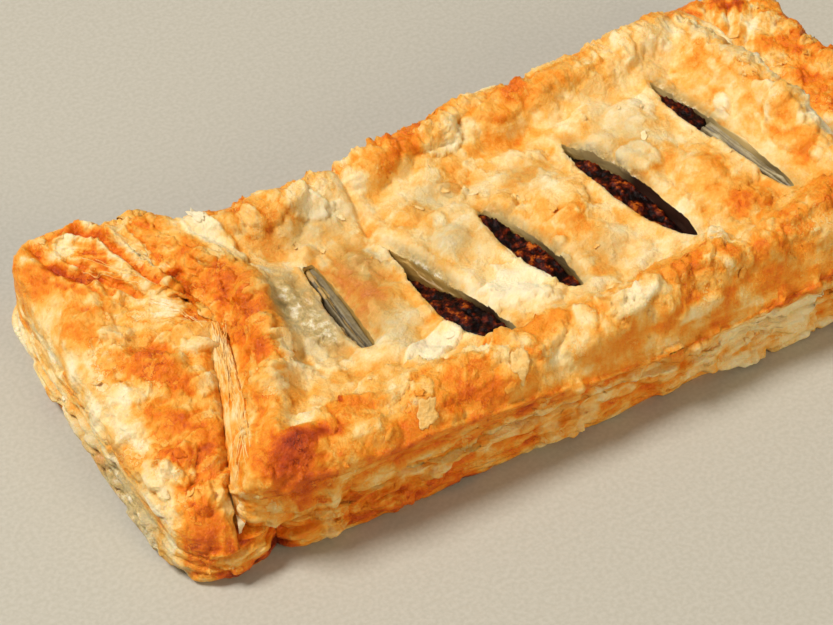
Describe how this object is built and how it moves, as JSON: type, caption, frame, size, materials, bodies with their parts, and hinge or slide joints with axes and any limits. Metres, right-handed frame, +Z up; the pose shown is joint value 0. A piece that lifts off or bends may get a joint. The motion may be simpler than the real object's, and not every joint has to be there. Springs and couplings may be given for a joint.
{
  "type": "apple pie",
  "caption": "Oblong puff-pastry apple pie: a bottom crust with puffed end strips, a slashed top crust sealed on it, and dark apple filling showing in the slashes.",
  "frame": {"origin": "middle of the underside, at the centre of the bounding box", "axes": "+X along the pie, +Y across it away from the viewer's long side, +Z up"},
  "size_m": [0.16, 0.0749, 0.0236],
  "materials": {
    "bottom_crust": "pale golden baked puff pastry, flaky and dull",
    "top_crust": "golden to orange-brown egg-washed puff pastry, softly glossy",
    "apple_filling": "moist, dark, caramelised apple"
  },
  "bodies": {
    "root": {"bottom_crust": "bottom_crust", "top_crust": "top_crust", "apple_filling": "apple_filling"}
  },
  "joints": []
}
